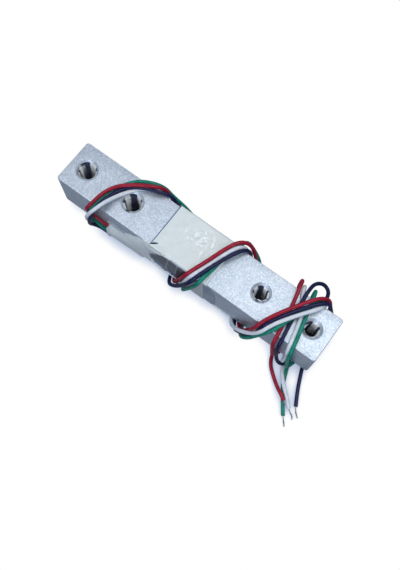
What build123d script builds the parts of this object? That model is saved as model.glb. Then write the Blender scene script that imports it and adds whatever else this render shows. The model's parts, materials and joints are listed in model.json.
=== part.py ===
from build123d import *
import math
import os

# A bending-beam load cell: an aluminium bar with strain gauges over a double-bore cut-out,
# silicone and film over the gauges, and four thin leads wound round the bar.
# Millimetres. X runs along the bar, Z is up, and the origin is under the middle of the bar,
# on the surface that the silicone pads stand on.

# Bar
beam_length = 80.0
beam_width = 12.7
beam_height = 12.7
beam_edge_chamfer = 0.3
flexure_bore_radius = 5.4
flexure_bore_offset = 4.1

# Tapped holes, with the larger thread at the fixed end and the smaller one at the load end
fixed_thread_minor_radius = 2.1
fixed_countersink_radius = 3.0
load_thread_minor_radius = 1.65
load_countersink_radius = 2.65
hole_end_distance = 5.0
hole_pitch = 15.0

# Silicone under the bar, which also carries it
rest_gap = 2.8
left_pad_start = -16.8
left_pad_end = -13.0
right_pad_start = 5.0
right_pad_end = 10.5
right_pad_width = 10.0
thin_coat_thickness = 0.5
thin_coat_end = 16.0
flange_thickness = 1.25
flange_height = 10.2
flange_foot_start = -25.4
flange_head_start = -23.9
front_strip_inner_edge = -3.5
back_flange_end = -14.0
back_flange_height = 5.0

# Silicone and film over the gauges
coat_side_thickness = 0.25
top_coat_thickness = 0.5
top_coat_start = -8.4
top_coat_end = 8.2
skirt_depth = 0.9
film_thickness = 0.25
film_top_start = -9.4
film_end = 7.3
film_step_height = 10.8

# Strain gauges
carrier_length = 6.4
carrier_width = 4.2
carrier_thickness = 0.1
grid_length = 4.6
grid_track_width = 0.28
grid_track_pitch = 0.5
grid_track_count = 6
grid_thickness = 0.05
tab_length = 0.7
tab_width = 0.8
tab_offset = 0.9

# Terminal strips and their wiring
strip_length = 8.0
strip_width = 1.2
strip_thickness = 0.15
lead_strip_centre = -14.8
bead_radius = 0.25
bead_height = 0.15
bead_rows = (-2.7, -0.9, 0.9)
lead_bead_rows = (-2.7, -0.9, 0.9, 2.7)
jumper_radius = 0.06
link_wire_radius = 0.1
link_wire_columns = (-0.4, 0.0, 0.4)
link_bead_radius = 0.16
link_bead_row = 3.4
seat_clearance = 0.05

# Leads
lead_radius = 0.5
lead_bore_clearance = 0.05
lead_bore_depth = 1.6
bare_wire_radius = 0.24

# Heights and faces that follow from the sizes above
beam_bottom = rest_gap
beam_top = rest_gap + beam_height
beam_middle = rest_gap + beam_height / 2
beam_side = beam_width / 2
coat_side = beam_side + coat_side_thickness
film_side = coat_side + film_thickness
flange_side = beam_side + flange_thickness
thin_coat_bottom = beam_bottom - thin_coat_thickness
hole_columns = {
    "fixed": (-beam_length / 2 + hole_end_distance, -beam_length / 2 + hole_end_distance + hole_pitch),
    "load": (beam_length / 2 - hole_end_distance - hole_pitch, beam_length / 2 - hole_end_distance),
}

# Each arc of a lead takes this share of the shorter of its two runs
arc_share = 0.45

# The leads' routes, chosen by hand: from the silicone at the front, three times round the bar,
# a fourth time under the third, and out along the surface in front of the load end
lead_points = {
    "red": [
        (-23.4, -7.1, 8.6), (-25.9, -7.1, 8.8), (-28.2, -7.3, 10.0), (-29.1, -7.7, 12.6),
        (-28.4, -8.3, 15.4), (-27.4, -6.6, 17.3), (-26.8, -3.4, 17.2), (-25.2, 0.4, 17.4),
        (-21.8, 3.3, 17.9), (-18.0, 5.5, 18.2), (-15.4, 7.7, 16.3), (-13.8, 8.1, 11.4),
        (-10.6, 8.6, 6.6), (-8.2, 8.6, 2.9), (-7.2, 6.0, 0.7), (-5.0, 0.0, 0.6),
        (-2.7, -6.1, 0.6), (-1.3, -8.6, 3.3), (0.4, -8.4, 8.8), (2.0, -8.7, 14.4),
        (3.3, -6.5, 17.7), (4.9, -1.6, 16.9), (7.0, 4.0, 18.0), (8.7, 7.2, 17.8),
        (11.0, 8.7, 15.6), (12.9, 8.1, 12.2), (13.6, 8.1, 7.6), (13.6, 8.1, 3.0),
        (14.1, 5.8, 0.9), (16.0, 0.0, 1.0), (18.4, -6.2, 0.9), (20.6, -8.0, 3.9),
        (22.2, -7.8, 9.0), (23.5, -8.4, 14.5), (24.5, -6.3, 17.8), (26.6, -2.4, 18.9),
        (29.7, 2.6, 18.9), (32.1, 6.3, 18.7), (34.3, 8.3, 16.5), (35.5, 8.3, 12.2),
        (35.7, 8.7, 7.8), (35.0, 8.8, 3.4), (34.3, 5.6, 1.8), (33.0, 0.0, 1.8),
        (31.6, -5.9, 1.7), (30.3, -8.7, 3.6), (30.0, -8.4, 9.0), (29.5, -8.7, 14.6),
        (29.3, -6.9, 16.7), (28.9, -4.0, 16.1), (28.4, -0.6, 16.0), (27.5, 3.6, 16.1),
        (26.7, 7.0, 16.5), (26.2, 9.2, 14.9), (26.0, 8.8, 11.8), (26.5, 7.9, 7.2),
        (27.0, 8.0, 3.2), (27.7, 5.8, 0.6), (29.2, 0.0, 0.6), (30.3, -5.9, 0.6),
        (31.4, -9.6, 0.6), (33.8, -12.2, 0.6), (36.4, -13.8, 1.1), (38.2, -14.8, 1.8),
        (39.5, -15.7, 1.7),
    ],
    "green": [
        (-24.3, -7.0, 4.1), (-26.8, -7.1, 3.9), (-28.7, -7.2, 6.0), (-28.9, -8.3, 9.2),
        (-28.1, -8.8, 12.4), (-27.3, -8.2, 15.0), (-26.6, -6.5, 16.6), (-25.8, -3.2, 16.3),
        (-25.0, 0.6, 16.1), (-22.4, 4.7, 16.1), (-18.6, 6.3, 16.7), (-16.3, 8.5, 14.5),
        (-14.4, 9.0, 11.0), (-10.6, 9.6, 7.6), (-6.6, 9.4, 4.6), (-4.4, 7.2, 1.4),
        (-3.6, 3.2, 1.0), (-1.4, -2.0, 1.1), (1.2, -6.3, 0.9), (2.6, -8.8, 3.2),
        (4.2, -8.5, 7.8), (5.4, -8.4, 11.6), (6.5, -7.9, 15.8), (6.9, -5.8, 17.9),
        (7.2, -2.8, 16.85), (7.6, 0.8, 16.85), (8.4, 5.0, 16.9), (9.4, 8.9, 15.6),
        (11.2, 9.4, 12.0), (13.5, 9.35, 8.2), (15.1, 8.5, 3.4), (15.4, 5.8, 1.0),
        (17.2, 0.0, 1.0), (19.8, -6.0, 1.0), (21.8, -9.4, 3.0), (24.0, -9.4, 7.8),
        (26.2, -9.0, 13.6), (27.5, -6.8, 17.0), (29.0, -3.2, 17.3), (30.4, 1.2, 17.3),
        (32.05, 5.3, 17.45), (33.6, 8.9, 14.8), (35.4, 9.7, 11.4), (37.6, 9.0, 7.6),
        (38.5, 8.2, 3.8), (38.1, 6.0, 1.5), (36.9, 0.0, 1.8), (36.1, -5.9, 1.7),
        (35.2, -8.9, 3.6), (34.7, -8.7, 9.0), (34.4, -8.8, 14.4), (33.9, -6.4, 17.0),
        (33.1, -2.6, 16.0), (31.9, 2.4, 16.1), (30.8, 6.8, 16.7), (30.3, 9.0, 14.7),
        (30.4, 8.1, 9.8), (30.7, 8.1, 3.6), (31.4, 5.8, 0.6), (33.0, 0.0, 0.6),
        (34.8, -6.0, 0.6), (36.0, -9.6, 0.6), (37.4, -13.0, 0.6), (39.8, -16.2, 0.6),
        (41.6, -18.7, 0.6),
    ],
    "black": [
        (-24.6, -6.9, 1.9), (-26.9, -6.9, 1.9), (-28.3, -7.7, 4.1), (-28.2, -8.8, 7.6),
        (-27.2, -9.3, 12.2), (-26.3, -8.7, 16.0), (-25.7, -5.9, 17.8), (-25.2, -2.5, 17.2),
        (-23.9, 1.3, 16.4), (-20.4, 4.1, 17.0), (-16.2, 5.5, 17.2), (-13.0, 7.4, 15.6),
        (-11.0, 7.3, 11.4), (-10.8, 7.3, 6.8), (-10.7, 7.9, 3.0), (-10.0, 5.6, 0.6),
        (-7.0, 0.0, 0.6), (-4.1, -5.6, 0.6), (-2.7, -9.1, 1.8), (0.0, -9.9, 5.6),
        (2.6, -9.5, 10.6), (4.3, -9.0, 15.4), (5.6, -6.1, 17.9), (7.1, -1.6, 17.8),
        (8.95, 2.9, 18.0), (10.6, 5.9, 17.6), (11.8, 7.5, 14.4), (12.2, 7.1, 9.4),
        (12.3, 8.0, 3.6), (12.8, 5.9, 0.8), (14.7, 0.0, 0.9), (17.1, -5.7, 0.9),
        (18.7, -8.6, 3.2), (21.2, -9.0, 6.8), (24.3, -8.7, 11.0), (25.0, -7.0, 16.4),
        (26.6, -4.1, 18.3), (29.5, 0.6, 18.3), (32.2, 4.5, 18.4), (34.6, 7.0, 17.6),
        (35.9, 7.4, 14.0), (36.5, 7.2, 8.9), (37.0, 8.2, 3.9), (36.7, 6.0, 1.4),
        (35.6, 0.0, 1.8), (35.0, -5.0, 1.8), (34.5, -8.3, 1.8), (33.2, -9.7, 2.3),
        (31.9, -9.6, 4.7), (31.3, -9.1, 8.0), (31.1, -8.7, 11.6), (30.9, -8.0, 15.2),
        (30.5, -5.4, 16.8), (29.9, -1.4, 16.1), (29.3, 3.2, 17.0), (29.0, 7.2, 17.6),
        (29.2, 10.2, 15.8), (30.9, 11.9, 14.4), (33.1, 11.2, 13.4), (33.7, 9.0, 11.2),
        (33.4, 7.7, 8.0), (33.2, 8.2, 4.8), (33.7, 7.9, 1.5), (34.9, 4.9, 0.6),
        (36.6, 0.2, 0.6), (38.3, -5.0, 0.6), (39.9, -8.9, 0.6), (41.3, -12.0, 0.6),
        (42.9, -14.9, 0.6),
    ],
    "white": [
        (-24.8, -5.4, 1.2), (-27.0, -5.6, 1.1), (-29.0, -7.2, 2.3), (-29.4, -9.0, 5.8),
        (-28.2, -10.2, 10.2), (-27.0, -10.3, 14.7), (-25.6, -8.1, 18.5), (-24.8, -4.3, 18.4),
        (-23.2, 0.1, 16.3), (-20.6, 3.3, 15.95), (-17.9, 5.2, 16.2), (-16.5, 7.2, 16.0),
        (-15.4, 7.4, 13.0), (-13.6, 7.2, 8.6), (-12.4, 7.6, 4.6), (-11.9, 7.2, 1.7),
        (-9.7, 4.0, 1.75), (-7.4, 1.2, 1.7), (-4.2, -2.2, 1.8), (-1.4, -6.5, 1.3),
        (0.2, -9.0, 3.2), (1.8, -8.3, 8.8), (3.0, -8.5, 14.2), (4.3, -6.8, 17.6),
        (5.9, -2.0, 16.8), (7.6, 2.4, 17.9), (9.2, 5.8, 17.8), (10.3, 7.3, 15.2),
        (10.9, 7.9, 11.2), (10.9, 8.1, 6.8), (10.9, 8.2, 3.2), (11.6, 5.8, 0.9),
        (13.5, 0.0, 1.0), (16.0, -5.8, 1.0), (17.6, -8.2, 3.6), (20.3, -9.3, 8.2),
        (23.6, -9.1, 12.4), (25.6, -8.3, 16.2), (26.9, -5.6, 18.4), (30.0, -0.7, 18.4),
        (32.8, 3.1, 18.4), (34.05, 5.4, 17.2), (34.3, 7.5, 15.5), (34.2, 7.1, 11.8),
        (34.9, 7.2, 7.4), (35.8, 7.8, 3.7), (35.6, 6.0, 1.6), (34.3, 0.0, 1.8),
        (33.5, -5.5, 1.5), (33.5, -8.5, 3.8), (33.8, -7.8, 9.4), (33.4, -8.2, 14.6),
        (32.8, -6.0, 17.0), (32.1, -2.8, 16.1), (31.2, 1.0, 16.1), (29.0, 4.4, 16.1),
        (27.8, 7.0, 16.2), (27.5, 8.4, 14.0), (27.6, 8.2, 11.0), (27.9, 7.9, 7.2),
        (28.4, 8.0, 3.2), (29.2, 5.8, 0.6), (31.4, 0.0, 0.6), (33.0, -5.8, 0.6),
        (35.0, -9.8, 0.9), (37.0, -12.2, 1.8), (39.6, -14.4, 1.6), (41.7, -16.3, 0.6),
    ],
}

# The tinned conductor at each lead's far end
bare_end_points = {
    "red": [
        (39.5, -15.7, 1.7), (40.0, -16.05, 1.65), (40.5, -16.3, 1.5),
    ],
    "green": [
        (41.6, -18.7, 0.6), (42.4, -19.8, 0.55), (43.0, -20.4, 0.35), (44.3, -21.4, 0.3),
    ],
    "black": [
        (42.9, -14.9, 0.6), (43.5, -16.0, 0.5), (44.3, -16.7, 0.4), (45.6, -17.3, 0.35),
    ],
    "white": [
        (41.7, -16.3, 0.6), (42.5, -16.95, 0.45), (43.9, -17.5, 0.4), (44.6, -18.4, 0.35),
    ],
}


def block(x, y, z):
    """A box between two values on each axis."""
    size = [high - low for low, high in (x, y, z)]
    middle = [(low + high) / 2 for low, high in (x, y, z)]
    return Pos(*middle) * Box(*size)


def upright(radius, x, y, low, high):
    """A cylinder that stands on the height low."""
    return Pos(x, y, low) * Cylinder(radius, high - low, align=(Align.CENTER, Align.CENTER, Align.MIN))


def straight_wire(start, end, radius):
    """A round wire between two points."""
    axis = Vector(end) - Vector(start)
    section = Plane(origin=start, z_dir=axis) * Circle(radius)
    return extrude(section, amount=axis.length)


def bent_path(points):
    """Straight runs with the largest tangent arcs that they allow, and the arcs' radii."""
    corners = [Vector(*point) for point in points]
    radii = []
    for before, corner, after in zip(corners, corners[1:], corners[2:]):
        run_in = corner - before
        run_out = after - corner
        half_turn = math.radians(run_in.get_angle(run_out)) / 2
        radii.append(arc_share * min(run_in.length, run_out.length) / math.tan(half_turn))
    return FilletPolyline(*corners, radius=radii), radii


def bent_wire(points, radius):
    """A round wire along straight runs and arcs."""
    path, radii = bent_path(points)
    section = Plane(origin=path @ 0, z_dir=path % 0) * Circle(radius)
    return sweep(section, path=path), path.length, radii


# Bar

def tapped_hole(x, minor_radius, countersink_radius):
    depth = countersink_radius - minor_radius
    hole = upright(minor_radius, x, 0, beam_bottom, beam_top)
    upper = Pos(x, 0, beam_top - depth / 2) * Cone(minor_radius, countersink_radius, depth)
    lower = Pos(x, 0, beam_bottom + depth / 2) * Cone(countersink_radius, minor_radius, depth)
    return hole + upper + lower


def make_beam():
    beam = block((-beam_length / 2, beam_length / 2), (-beam_side, beam_side), (beam_bottom, beam_top))
    beam = chamfer(beam.edges(), beam_edge_chamfer)
    for offset in (-flexure_bore_offset, flexure_bore_offset):
        beam -= Pos(offset, 0, beam_middle) * Rot(90, 0, 0) * Cylinder(flexure_bore_radius, 2 * beam_width)
    for x in hole_columns["fixed"]:
        beam -= tapped_hole(x, fixed_thread_minor_radius, fixed_countersink_radius)
    for x in hole_columns["load"]:
        beam -= tapped_hole(x, load_thread_minor_radius, load_countersink_radius)
    return beam


# Strain gauges, built on the bar's top and mirrored to its underside

def mirrored_below(solids):
    return [mirror(solid, Plane.XY.offset(beam_middle)) for solid in solids]


def make_carrier(side):
    middle = side * flexure_bore_offset
    return block(
        (middle - carrier_length / 2, middle + carrier_length / 2),
        (-carrier_width / 2, carrier_width / 2),
        (beam_top, beam_top + carrier_thickness),
    )


def make_grid(side):
    """A foil grid: long tracks, turned back and forth, with two tabs at the inner end."""
    low = beam_top + carrier_thickness
    high = low + grid_thickness
    middle = side * flexure_bore_offset
    first_track = -(grid_track_count - 1) * grid_track_pitch / 2
    outer_end = grid_length / 2
    inner_end = outer_end - grid_length
    pieces = []
    for index in range(grid_track_count):
        y = first_track + index * grid_track_pitch
        pieces.append(block((inner_end, outer_end), (y - grid_track_width / 2, y + grid_track_width / 2), (low, high)))
    for index in range(grid_track_count - 1):
        y = first_track + index * grid_track_pitch
        end = outer_end - grid_track_width if index % 2 == 0 else inner_end
        turn = (y - grid_track_width / 2, y + grid_track_pitch + grid_track_width / 2)
        pieces.append(block((end, end + grid_track_width), turn, (low, high)))
    for y in (-tab_offset, tab_offset):
        outward = first_track if y < 0 else -first_track
        reach = sorted((y - math.copysign(tab_width / 2, y), outward + math.copysign(grid_track_width / 2, y)))
        pieces.append(block((inner_end - tab_length, inner_end), reach, (low, high)))
    grid = pieces[0].fuse(*pieces[1:])
    if side < 0:
        grid = mirror(grid, Plane.YZ)
    return Pos(middle, 0, 0) * grid


# Terminal strips, solder and fine wires

def make_strip(centre):
    return block(
        (centre - strip_width / 2, centre + strip_width / 2),
        (-strip_length / 2, strip_length / 2),
        (beam_top, beam_top + strip_thickness),
    )


def make_beads(centre, rows):
    low = beam_top + strip_thickness
    return [upright(bead_radius, centre, y, low, low + bead_height) for y in rows]


def make_link_beads():
    low = beam_top + strip_thickness
    return [upright(link_bead_radius, x, link_bead_row, low, low + bead_height) for x in link_wire_columns]


def make_jumpers():
    """Four fine wires from the gauges' tabs to the beads on the strip between them."""
    height = beam_top + strip_thickness + jumper_radius
    tab_x = flexure_bore_offset - grid_length / 2 - tab_length / 2
    shared_row = bead_rows[2]
    runs = [
        (-tab_x, shared_row, shared_row),
        (tab_x, shared_row, shared_row),
        (-tab_x, -tab_offset, bead_rows[1]),
        (tab_x, -tab_offset, bead_rows[0]),
    ]
    wires = []
    for x, tab_y, bead_y in runs:
        bead = Vector(0, bead_y, height)
        tab = Vector(x, tab_y, height)
        start = bead + (tab - bead).normalized() * (bead_radius + seat_clearance)
        wires.append(straight_wire(start, tab, jumper_radius))
    return wires


def make_link_wires():
    """Three wires from the upper strip, over the back edge, to the lower strip."""
    height = strip_thickness + link_wire_radius + seat_clearance
    start_y = link_bead_row + link_bead_radius + seat_clearance
    back_y = beam_side + link_wire_radius + seat_clearance / 2
    wires = []
    for x in link_wire_columns:
        points = [
            (x, start_y, beam_top + height),
            (x, back_y, beam_top + height),
            (x, back_y, beam_bottom - height),
            (x, start_y, beam_bottom - height),
        ]
        path = FilletPolyline(*points, radius=2 * link_wire_radius)
        section = Plane(origin=path @ 0, z_dir=path % 0) * Circle(link_wire_radius)
        wires.append(sweep(section, path=path))
    return wires


def inner_pockets():
    """The room that the gauges, strips and wires take in the silicone on top of the bar."""
    gauge_reach = flexure_bore_offset + carrier_length / 2 + seat_clearance
    gauge_depth = carrier_thickness + grid_thickness + jumper_radius * 2 + seat_clearance
    strip_depth = strip_thickness + bead_height + seat_clearance
    jumper_reach = flexure_bore_offset - carrier_length / 2 + tab_length
    strip_half = strip_length / 2 + seat_clearance
    channel_half = max(link_wire_columns) + link_wire_radius + seat_clearance
    channel_depth = strip_thickness + 2 * link_wire_radius + 2 * seat_clearance
    gauge_half = carrier_width / 2 + seat_clearance
    link_start = link_bead_row - link_bead_radius
    return [
        block((-gauge_reach, gauge_reach), (-gauge_half, gauge_half), (beam_top, beam_top + gauge_depth)),
        block((-jumper_reach, jumper_reach), (-strip_half, strip_half), (beam_top, beam_top + strip_depth)),
        block((-channel_half, channel_half), (link_start, coat_side), (beam_top, beam_top + channel_depth)),
        block((-channel_half, channel_half), (beam_side, coat_side), (beam_middle, beam_top + channel_depth)),
    ]


# Silicone and film

def make_top_coat():
    length = (top_coat_start, top_coat_end)
    coat = block(length, (-coat_side, coat_side), (beam_top, beam_top + top_coat_thickness))
    for inner, outer in ((beam_side, coat_side), (-coat_side, -beam_side)):
        coat += block(length, (inner, outer), (beam_top - skirt_depth, beam_top))
    for pocket in inner_pockets():
        coat -= pocket
    return coat


def make_bottom_coat():
    front = -flange_side
    coat = block((left_pad_start, left_pad_end), (-coat_side, coat_side), (0, beam_bottom))
    coat += block((left_pad_end, thin_coat_end), (-coat_side, coat_side), (thin_coat_bottom, beam_bottom))
    coat += block((right_pad_start, right_pad_end), (-right_pad_width / 2, right_pad_width / 2), (0, beam_bottom))
    coat += block((left_pad_start, back_flange_end), (beam_side, flange_side), (0, back_flange_height))
    slant = (flange_head_start - flange_foot_start) / flange_height
    strip_outline = [
        (flange_foot_start, 0),
        (left_pad_end, 0),
        (left_pad_end, beam_bottom),
        (flange_foot_start + slant * beam_bottom, beam_bottom),
    ]
    flange_outline = [
        (flange_foot_start, 0),
        (left_pad_end, 0),
        (left_pad_end, flange_height),
        (flange_head_start, flange_height),
    ]
    for outline, inner in ((strip_outline, front_strip_inner_edge), (flange_outline, -beam_side)):
        face = Plane.XZ.offset(-inner) * make_face(Polyline(*outline, close=True))
        coat += extrude(face, amount=inner - front)
    for pocket in mirrored_below(inner_pockets()):
        coat -= pocket
    coat -= lead_strip_pocket()
    for name in lead_points:
        coat -= lead_bore(lead_points[name])
    return coat


def lead_strip_pocket():
    depth = strip_thickness + bead_height + seat_clearance
    half_width = strip_width / 2 + seat_clearance
    half_length = strip_length / 2 + seat_clearance
    return block(
        (lead_strip_centre - half_width, lead_strip_centre + half_width),
        (-half_length, half_length),
        (beam_bottom - depth, beam_bottom),
    )


def lead_bore(points):
    """The blind bore in the silicone that a lead comes out of."""
    start = Vector(*points[0])
    outward = (Vector(*points[1]) - start).normalized()
    section = Plane(origin=start, z_dir=outward) * Circle(lead_radius + lead_bore_clearance)
    return extrude(section, amount=lead_bore_depth)


def make_film():
    top = beam_top + top_coat_thickness
    film = block((film_top_start, film_end), (-film_side, film_side), (top, top + film_thickness))
    back = block((film_top_start, film_end), (coat_side, film_side), (thin_coat_bottom, top))
    front_outline = [
        (left_pad_end, thin_coat_bottom),
        (film_end, thin_coat_bottom),
        (film_end, top),
        (film_top_start, top),
        (left_pad_end, film_step_height),
    ]
    face = Plane.XZ.offset(coat_side) * make_face(Polyline(*front_outline, close=True))
    return film + back + extrude(face, amount=film_thickness)


# All pieces

def make_parts():
    parts = {"beam": make_beam(), "film_wrap": make_film()}
    parts["silicone_coat_top"] = make_top_coat()
    parts["silicone_coat_bottom"] = make_bottom_coat()
    for side, name in ((-1, "left"), (1, "right")):
        carrier = [make_carrier(side)]
        grid = [make_grid(side)]
        parts["gauge_carrier_top_" + name] = carrier
        parts["gauge_grid_top_" + name] = grid
        parts["gauge_carrier_bottom_" + name] = mirrored_below(carrier)
        parts["gauge_grid_bottom_" + name] = mirrored_below(grid)
    beads = make_beads(0, bead_rows) + make_link_beads()
    parts["terminal_strip_top"] = make_strip(0)
    parts["terminal_strip_bottom"] = mirrored_below([make_strip(0)])
    parts["terminal_strip_leads"] = mirrored_below([make_strip(lead_strip_centre)])
    parts["solder_joints_top"] = beads
    parts["solder_joints_bottom"] = mirrored_below(beads)
    parts["solder_joints_leads"] = mirrored_below(make_beads(lead_strip_centre, lead_bead_rows))
    parts["gauge_jumper_wires_top"] = make_jumpers()
    parts["gauge_jumper_wires_bottom"] = mirrored_below(make_jumpers())
    parts["bridge_link_wires"] = make_link_wires()
    return parts


def make_leads():
    leads = {}
    for name, points in lead_points.items():
        solid, length, radii = bent_wire(points, lead_radius)
        expected = math.pi * lead_radius**2 * length
        print(f"lead_{name}: length {length:.1f}, volume {solid.volume:.2f} for {expected:.2f}")
        print("   radii " + " ".join(f"{radius:.1f}" for radius in radii))
        leads["lead_" + name] = solid
    for name, points in bare_end_points.items():
        solid, length, radii = bent_wire(points, bare_wire_radius)
        print(f"bare_end_{name}: length {length:.1f}, radii " + " ".join(f"{radius:.1f}" for radius in radii))
        leads["bare_end_" + name] = solid
    return leads


os.makedirs("parts", exist_ok=True)
nodes = {**make_parts(), **make_leads()}
for node_name, shape in nodes.items():
    if isinstance(shape, list):
        shape = Compound(shape)
    export_step(shape, f"parts/{node_name}.step")
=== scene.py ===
"""Looks of the weighing load cell: a bored bar with silicone coats, a clear film and four leads."""
import json
import math
import random

import bmesh
import bpy
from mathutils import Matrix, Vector, noise


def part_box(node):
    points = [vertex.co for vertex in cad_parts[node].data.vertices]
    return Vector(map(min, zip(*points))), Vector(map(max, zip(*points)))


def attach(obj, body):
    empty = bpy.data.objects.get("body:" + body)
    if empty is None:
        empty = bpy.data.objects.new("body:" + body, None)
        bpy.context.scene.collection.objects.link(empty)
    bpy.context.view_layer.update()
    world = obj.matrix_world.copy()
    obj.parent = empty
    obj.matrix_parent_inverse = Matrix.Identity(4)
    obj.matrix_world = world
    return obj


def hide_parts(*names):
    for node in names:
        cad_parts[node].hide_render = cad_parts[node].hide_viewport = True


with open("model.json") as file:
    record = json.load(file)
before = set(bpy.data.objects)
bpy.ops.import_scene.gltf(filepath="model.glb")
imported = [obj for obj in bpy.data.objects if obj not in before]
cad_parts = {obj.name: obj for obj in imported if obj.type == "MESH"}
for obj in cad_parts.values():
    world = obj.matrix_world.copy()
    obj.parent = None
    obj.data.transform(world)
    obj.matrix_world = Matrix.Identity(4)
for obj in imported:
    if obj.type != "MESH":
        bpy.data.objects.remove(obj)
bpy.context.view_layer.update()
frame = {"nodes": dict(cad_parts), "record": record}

# The bar's size, in metres, from the frame, rounded to a micrometre
beam_low, beam_high = ([round(value, 6) for value in corner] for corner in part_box("beam"))
bar_half_length = beam_high[0]
bar_side = beam_high[1]
bar_bottom = beam_low[2]
bar_top = beam_high[2]
bar_middle = (bar_bottom + bar_top) / 2

# The bar's bores and holes, as in the part's source
flexure_radius = 0.0054
flexure_offset = 0.0041
holes = {
    "fixed": {
        "columns": (-0.035, -0.020), "minor": 0.0021, "major": 0.0025, "rim": 0.00305, "pitch": 0.0008,
    },
    "load": {
        "columns": (0.020, 0.035), "minor": 0.00165, "major": 0.0020, "rim": 0.0027, "pitch": 0.0007,
    },
}

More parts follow.
